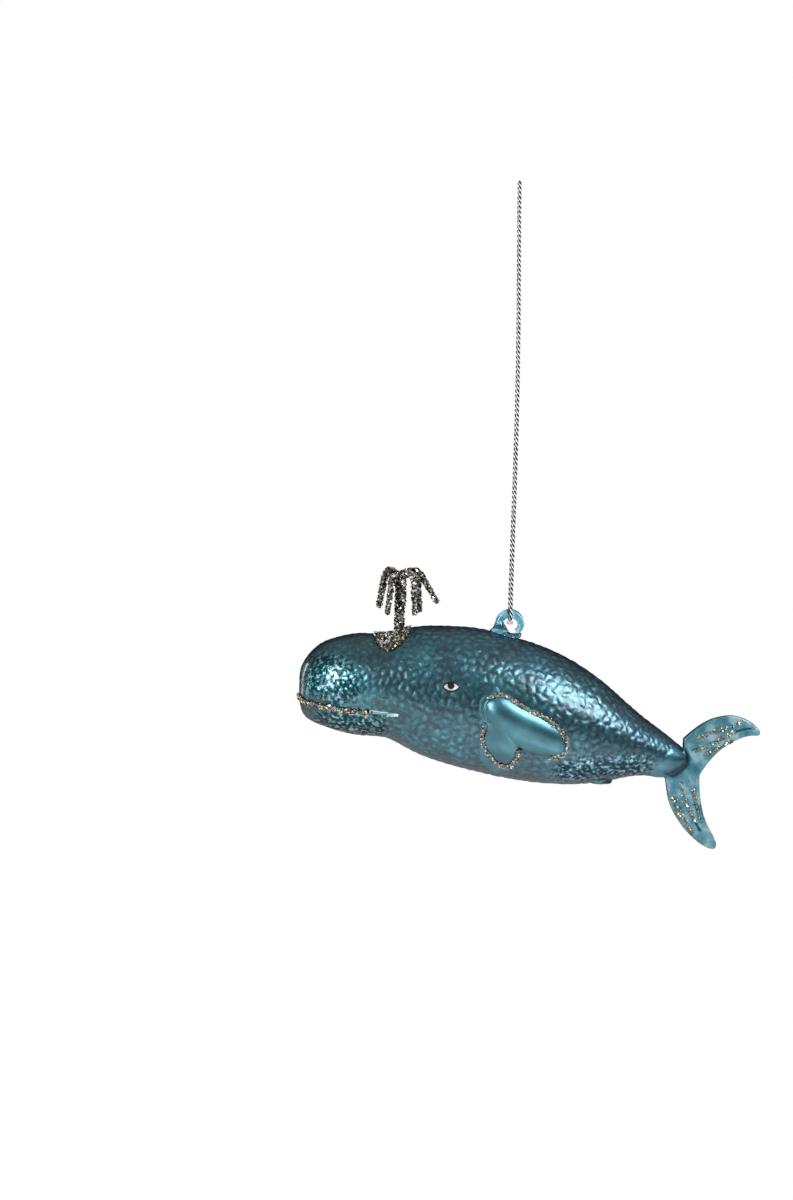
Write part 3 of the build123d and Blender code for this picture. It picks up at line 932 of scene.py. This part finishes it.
eye = {
    "white": ("#c6cbd0", "#dfe3e6"),
    "black": ("#120e0d", "#060505"),
    "bolder": 0.08,  # the brush's line swells by this, mm
}


def paintEyes():
    white = brushedEnamel("brushedWhiteEnamel", *eye["white"], 0.3)
    black = brushedEnamel("brushedBlackEnamel", *eye["black"], 0.1)
    for side in ("left", "right"):
        for part, material in (("white", white), ("pupil", black)):
            mesh = nodes[f"eye_{part}_{side}"].data
            mesh.materials.clear()
            mesh.materials.append(material)
        stroke = joined([beadCore(f"eye_line_{side}", eye["bolder"])])
        line = addObject(f"eyeLine{side.title()}", stroke, black)
        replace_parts(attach(line, "whale"), f"eye_line_{side}")
    print("eyes painted")


paintEyes()


# Light: softboxes to the left and above the tail, a strip at the nose, a low one under the belly, two behind
lamps = [
    {"name": "leftSoftbox", "way": (-0.62, -0.74, 0.24), "reach": 0.85, "size": (0.28, 0.64), "radiance": 7},
    {"name": "leftStrip", "way": (-0.97, 0.05, 0.05), "reach": 0.85, "size": (0.08, 0.60), "radiance": 7},
    {"name": "rightSoftbox", "way": (0.60, -0.54, 0.60), "reach": 0.85, "size": (0.50, 0.46), "radiance": 8},
    {"name": "lowSoftbox", "way": (0.20, -0.42, -0.80), "reach": 0.28, "size": (0.24, 0.10), "radiance": 0.7},
    {"name": "backLeftSoftbox", "way": (-0.75, 0.62, 0.10), "reach": 0.90, "size": (0.10, 0.50), "radiance": 6},
    {"name": "backRightSoftbox", "way": (0.70, 0.45, 0.20), "reach": 0.86, "size": (0.22, 0.30), "radiance": 4},
]
room = {
    "aim": -25,  # mm from the ring's middle down to where the lamps point
    "grey": (0.09, 0.40),  # level and overhead
    "card": (0.55, 0.85, 0.15),  # a dark card behind keeps the rims dark: its edges, and the light it leaves
    "floorHeight": -460, "floorReach": 3000,
    "paper": (0.15, 0.50),  # metres from the middle where the floor turns to plain white
    "paperTone": [0.86, 0.86, 0.86, 1], "paperLift": 0.2, "white": [1, 1, 1, 1],
}


def setLight():
    aim = ringCentre + Vector((0, 0, room["aim"])) * mm
    for lamp in lamps:
        data = bpy.data.lights.new(lamp["name"], "AREA")
        data.shape = "RECTANGLE"
        data.size, data.size_y = lamp["size"]
        data.energy = lamp["radiance"] * math.pi * lamp["size"][0] * lamp["size"][1]
        item = bpy.data.objects.new(lamp["name"], data)
        item.location = aim + Vector(lamp["way"]).normalized() * lamp["reach"]
        item.rotation_euler = (aim - item.location).to_track_quat("-Z", "Y").to_euler()
        bpy.context.scene.collection.objects.link(item)

    world = bpy.data.worlds.new("paleRoom")
    world.use_nodes = True
    bpy.context.scene.world = world
    tree = world.node_tree
    tree.nodes.clear()
    path = addNode(tree, "ShaderNodeLightPath")
    way = addNode(tree, "ShaderNodeTexCoord")
    turned = addNode(tree, "ShaderNodeSeparateXYZ", links={"Vector": way.outputs["Generated"]})
    edge, middle, dark = room["card"]
    behind = addNode(
        tree, "ShaderNodeMapRange", {"From Min": edge, "From Max": middle, "To Min": 1.0, "To Max": dark},
        {"Value": turned.outputs["Y"]},
    )
    shown = addNode(
        tree, "ShaderNodeMath", {"operation": "MAXIMUM"},
        {0: path.outputs["Is Camera Ray"], 1: path.outputs["Is Transmission Ray"]},
    )
    level, overhead = room["grey"]
    shade = addNode(
        tree, "ShaderNodeMapRange", {"From Min": 0.0, "From Max": 1.0, "To Min": level, "To Max": overhead},
        {"Value": turned.outputs["Z"]},
    )
    carded = addNode(
        tree, "ShaderNodeMath", {"operation": "MULTIPLY"},
        {0: shade.outputs["Result"], 1: behind.outputs["Result"]},
    )
    grey = addNode(tree, "ShaderNodeBackground", {"Color": room["white"]}, {"Strength": carded.outputs[0]})
    white = addNode(tree, "ShaderNodeBackground", {"Color": room["white"]})
    mixed = addNode(
        tree, "ShaderNodeMixShader", links={0: shown.outputs[0], 1: grey.outputs[0], 2: white.outputs[0]},
    )
    addNode(tree, "ShaderNodeOutputWorld", links={"Surface": mixed.outputs[0]})


def setFloor():
    material = bpy.data.materials.new("palePaperFloor")
    material.use_nodes = True
    tree = material.node_tree
    tree.nodes.clear()
    path = addNode(tree, "ShaderNodeLightPath")
    place = addNode(tree, "ShaderNodeTexCoord").outputs["Object"]
    reach = addNode(tree, "ShaderNodeVectorMath", {"operation": "LENGTH"}, {0: place})
    near, far = room["paper"]
    away = addNode(
        tree, "ShaderNodeMapRange", {"From Min": near, "From Max": far, "To Min": 0.0},
        {"Value": reach.outputs["Value"]},
    )
    seen = addNode(
        tree, "ShaderNodeMath", {"operation": "MAXIMUM"},
        {0: path.outputs["Is Camera Ray"], 1: path.outputs["Is Transmission Ray"]},
    )
    white = addNode(
        tree, "ShaderNodeMath", {"operation": "MULTIPLY"}, {0: away.outputs["Result"], 1: seen.outputs[0]},
    )
    paper = addNode(tree, "ShaderNodeBsdfDiffuse", {"Color": room["paperTone"]})
    lift = addNode(tree, "ShaderNodeEmission", {"Color": room["white"], "Strength": room["paperLift"]})
    lit = addNode(tree, "ShaderNodeAddShader", links={0: paper.outputs[0], 1: lift.outputs[0]})
    under = addNode(
        tree, "ShaderNodeMixShader", links={0: seen.outputs[0], 1: paper.outputs[0], 2: lit.outputs[0]},
    )
    glow = addNode(tree, "ShaderNodeEmission", {"Color": room["white"], "Strength": 1.0})
    mixed = addNode(
        tree, "ShaderNodeMixShader", links={0: white.outputs[0], 1: under.outputs[0], 2: glow.outputs[0]},
    )
    addNode(tree, "ShaderNodeOutputMaterial", links={"Surface": mixed.outputs[0]})
    half = room["floorReach"] * mm
    corners = [(-half, -half, 0), (half, -half, 0), (half, half, 0), (-half, half, 0)]
    mesh = bpy.data.meshes.new("floor")
    mesh.from_pydata(corners, [], [(0, 1, 2, 3)])
    floor = addObject("floor", mesh, material, smooth=False)
    floor.location = (0, 0, room["floorHeight"] * mm)


setLight()
setFloor()
bpy.context.scene.view_settings.view_transform = "Standard"
print("light and floor set")
